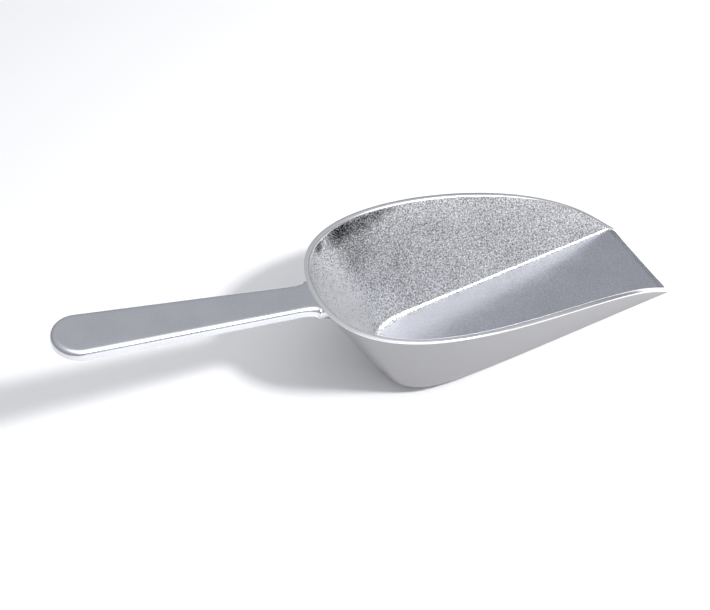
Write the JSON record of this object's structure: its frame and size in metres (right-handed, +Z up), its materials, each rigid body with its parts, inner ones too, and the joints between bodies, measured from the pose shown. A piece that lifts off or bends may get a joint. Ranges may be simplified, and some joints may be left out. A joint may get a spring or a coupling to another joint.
{
  "type": "ice scoop",
  "caption": "Flat-bottomed cast-aluminium ice scoop: open-fronted bowl with flared, arched side walls and a flat tapered handle rising from the rear rim.",
  "frame": {"origin": "bottom centre of the bounding box, on the flat face under the floor", "axes": "+X from the handle end towards the straight front edge, +Y to the left, +Z up; the object is symmetric in Y"},
  "size_m": [0.254, 0.0902, 0.0911],
  "materials": {
    "inside_floor": "satin, very fine grain",
    "ground_edge": "ground and lightly brushed",
    "cast_wall": "as cast and blasted: coarse grain inside, smooth satin outside",
    "polished_rim": "polished",
    "satin_handle": "satin with bright rounded edges"
  },
  "bodies": {
    "root": {"bowl_floor": "inside_floor", "front_lip": "ground_edge", "rear_wall": "cast_wall", "left_wall": "cast_wall", "right_wall": "cast_wall", "rim_band": "polished_rim", "handle_neck": "satin_handle", "handle_grip": "satin_handle"}
  },
  "joints": []
}
